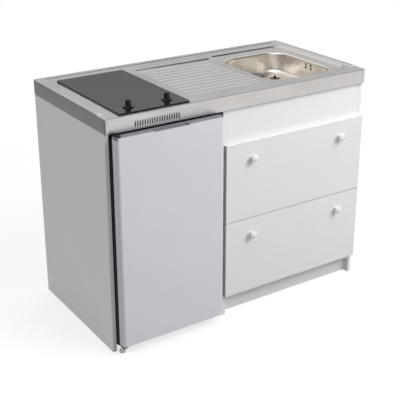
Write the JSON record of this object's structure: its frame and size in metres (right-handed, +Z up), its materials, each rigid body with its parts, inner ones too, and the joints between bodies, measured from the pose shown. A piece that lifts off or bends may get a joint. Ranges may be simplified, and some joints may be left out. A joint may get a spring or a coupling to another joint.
{
  "type": "kitchenette unit",
  "caption": "Compact kitchenette: steel worktop with bowl, drainer and glass hob, over an undercounter refrigerator and wide drawers.",
  "frame": {"origin": "on the floor, at the middle of the unit's whole width and depth", "axes": "+X along the worktop towards the bowl, +Y from the front to the wall, +Z up"},
  "size_m": [1.2, 0.64, 0.9645],
  "materials": {
    "board": "white melamine-faced chipboard",
    "front": "smooth white foil on chipboard",
    "batten": "planed softwood",
    "steel_top": "rolled matt stainless",
    "steel_bowl": "satin stainless",
    "white_plastic": "moulded, satin",
    "clear_plastic": "clear polystyrene",
    "grey_plastic": "moulded, fine texture",
    "black_plastic": "moulded, satin black",
    "beige_plastic": "moulded, heat resistant",
    "seal_rubber": "soft black",
    "gasket_rubber": "soft grey",
    "hob_glass": "dark glass ceramic",
    "shelf_glass": "clear toughened glass",
    "fridge_skin": "stove-enamelled steel skin over foam",
    "fridge_shell": "white skin and liner over foam",
    "freezer_metal": "anodised sheet",
    "plated_sheet": "zinc-plated sheet",
    "heater_pan": "aluminised pan with insulating cup",
    "black_steel": "black enamel",
    "white_steel": "white powder coat"
  },
  "bodies": {
    "cabinet": {"left_side_panel": "board", "middle_panel": "board", "right_side_panel": "board", "base_board": "board", "plinth_board": "board", "fascia_board": "front", "rear_rails": "board", "worktop_sheet": "steel_top", "sink_surround": "steel_top", "worktop_battens": "batten", "sink_bowl": "steel_bowl", "waste_flange": "steel_bowl", "waste_body": "white_plastic", "waste_pipe": "white_plastic", "overflow_pipe": "grey_plastic", "trap_body": "white_plastic", "hob_glass": "hob_glass", "hob_seal": "seal_rubber", "hob_tray": "plated_sheet", "heater_front": "heater_pan", "heater_rear": "heater_pan", "energy_regulators": "beige_plastic", "fridge_cabinet": "fridge_shell", "icebox": "freezer_metal", "upper_shelf": "shelf_glass", "lower_shelf": "shelf_glass", "thermostat_housing": "white_plastic", "compressor": "black_steel", "condenser": "black_steel", "fridge_feet": "white_plastic", "upper_hinge": "black_steel", "lower_hinge": "black_steel", "upper_cabinet_runners": "white_steel", "lower_cabinet_runners": "white_steel"},
    "fridge_door": {"fridge_door": "fridge_skin", "door_top_cap": "grey_plastic", "door_liner": "white_plastic", "door_gasket": "gasket_rubber", "door_rack_upper": "clear_plastic", "door_rack_middle": "clear_plastic", "bottle_rack": "clear_plastic"},
    "icebox_flap": {"icebox_flap": "clear_plastic"},
    "thermostat_dial": {"thermostat_dial": "white_plastic"},
    "hob_knob_left": {"hob_knob_left": "black_plastic"},
    "hob_knob_right": {"hob_knob_right": "black_plastic"},
    "waste_strainer": {"waste_strainer": "black_plastic"},
    "upper_drawer": {"upper_drawer_front": "front", "upper_drawer_left_side": "board", "upper_drawer_right_side": "board", "upper_drawer_back": "board", "upper_drawer_bottom": "board", "upper_drawer_knobs": "white_plastic", "upper_drawer_slides": "white_steel"},
    "lower_drawer": {"lower_drawer_front": "front", "lower_drawer_left_side": "board", "lower_drawer_right_side": "board", "lower_drawer_back": "board", "lower_drawer_bottom": "board", "lower_drawer_knobs": "white_plastic", "lower_drawer_slides": "white_steel"}
  },
  "joints": [
    {"name": "fridge_door_hinge", "type": "hinge", "parent": "cabinet", "child": "fridge_door", "pos_m": [-0.563, -0.302, 0.45], "axis": [0, 0, -1], "range_deg": [0, 110]},
    {"name": "icebox_flap_hinge", "type": "hinge", "parent": "cabinet", "child": "icebox_flap", "pos_m": [-0.352, -0.156, 0.803], "axis": [-1, 0, 0], "range_deg": [0, 85]},
    {"name": "thermostat_turn", "type": "hinge", "parent": "cabinet", "child": "thermostat_dial", "pos_m": [-0.197, -0.07, 0.63], "axis": [-1, 0, 0], "range_deg": [0, 270]},
    {"name": "upper_drawer_slide", "type": "slide", "parent": "cabinet", "child": "upper_drawer", "axis": [0, -1, 0], "range_m": [0, 0.34]},
    {"name": "lower_drawer_slide", "type": "slide", "parent": "cabinet", "child": "lower_drawer", "axis": [0, -1, 0], "range_m": [0, 0.34]},
    {"name": "hob_knob_left_turn", "type": "hinge", "parent": "cabinet", "child": "hob_knob_left", "pos_m": [-0.47, -0.213, 0.936], "axis": [0, 0, 1], "range_deg": [0, 300]},
    {"name": "hob_knob_right_turn", "type": "hinge", "parent": "cabinet", "child": "hob_knob_right", "pos_m": [-0.31, -0.213, 0.936], "axis": [0, 0, 1], "range_deg": [0, 300]},
    {"name": "strainer_lift", "type": "slide", "parent": "cabinet", "child": "waste_strainer", "axis": [0, 0, 1], "range_m": [0, 0.05]}
  ]
}
